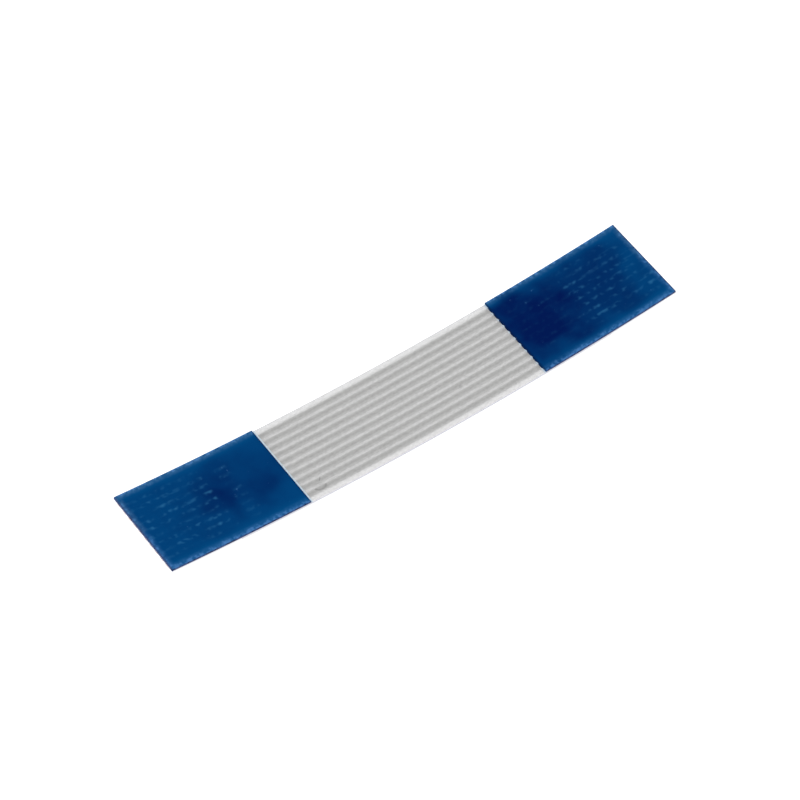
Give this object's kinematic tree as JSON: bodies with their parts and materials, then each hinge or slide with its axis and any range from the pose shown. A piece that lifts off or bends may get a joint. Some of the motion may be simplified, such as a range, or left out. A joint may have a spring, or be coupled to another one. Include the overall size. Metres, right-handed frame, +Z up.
{
  "type": "flat flex cable",
  "caption": "Short flat flex cable: parallel flat conductors between ribbed translucent films, a blue stiffener over each end, and bare contacts under the tips.",
  "frame": {"origin": "on the supporting surface, under the middle of the belly: the bottom centre of the cable's box", "axes": "+X along the cable, +Y across it, +Z up, towards the stiffened side"},
  "size_m": [0.03, 0.0056, 0.001],
  "materials": {
    "insulation_film": "translucent milky polyester film, satin",
    "stiffener_tape": "clear blue polyester tape, smooth, frosted along its cut edges",
    "tinned_copper": "tin-plated rolled copper, satin"
  },
  "bodies": {
    "root": {"top_film": "insulation_film", "bottom_film": "insulation_film", "stiffener_left": "stiffener_tape", "stiffener_right": "stiffener_tape", "conductor_01": "tinned_copper", "conductor_02": "tinned_copper", "conductor_03": "tinned_copper", "conductor_04": "tinned_copper", "conductor_05": "tinned_copper", "conductor_06": "tinned_copper", "conductor_07": "tinned_copper", "conductor_08": "tinned_copper", "conductor_09": "tinned_copper", "conductor_10": "tinned_copper"}
  },
  "joints": []
}
